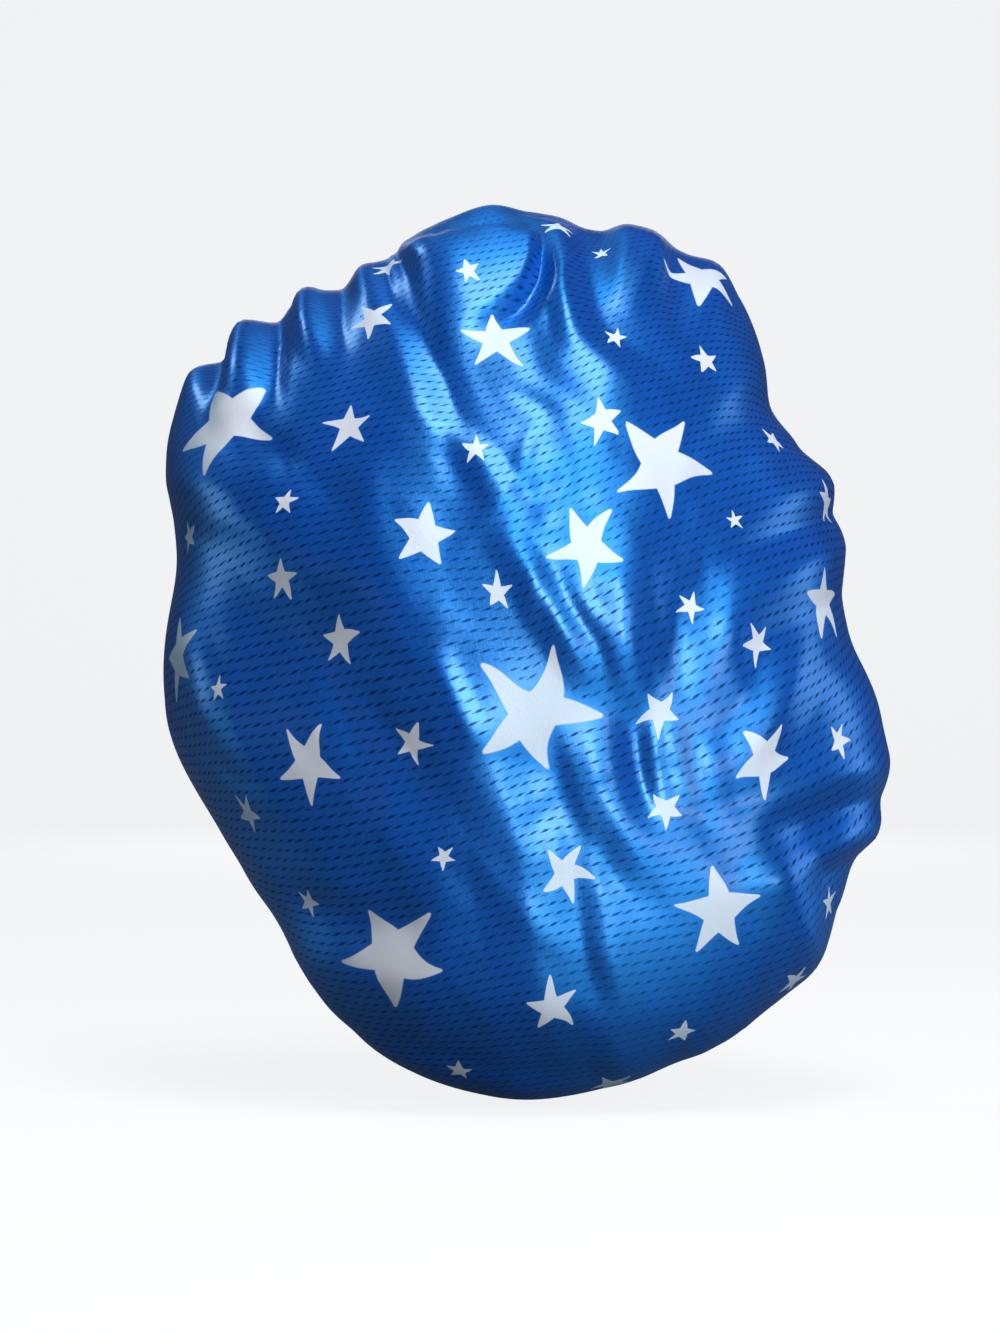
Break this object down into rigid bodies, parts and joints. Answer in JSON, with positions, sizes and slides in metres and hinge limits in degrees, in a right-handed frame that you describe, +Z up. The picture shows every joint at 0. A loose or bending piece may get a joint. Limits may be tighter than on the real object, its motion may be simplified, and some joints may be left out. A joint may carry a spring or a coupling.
{
  "type": "hair bonnet",
  "caption": "Soft satin hair bonnet in its worn shape: a full lined bag with a star print, gathered into a folded band that holds a loop of elastic around the head.",
  "frame": {"origin": "centre of the elastic loop, at the middle of the elastic's width, where the head sits", "axes": "+Z up as worn, +Y towards the wearer's face, +X to the wearer's right, so the full back of the bag faces -Y"},
  "size_m": [0.3143, 0.2777, 0.386],
  "materials": {
    "printed_satin": "glossy satin, royal blue with white stars and fine dark dashes",
    "plain_satin": "plain deep blue satin",
    "woven_elastic": "ribbed woven elastic, off-white",
    "blue_thread": "twisted polyester sewing thread",
    "white_thread": "twisted polyester sewing thread"
  },
  "bodies": {
    "root": {"outer_shell": "printed_satin", "lining": "plain_satin", "band_casing": "printed_satin", "elastic_band": "woven_elastic", "elastic_bartack": "white_thread", "gathering_thread": "blue_thread", "topstitch_needle_thread": "blue_thread", "topstitch_bobbin_thread": "blue_thread", "band_join_stitch": "blue_thread"}
  },
  "joints": []
}
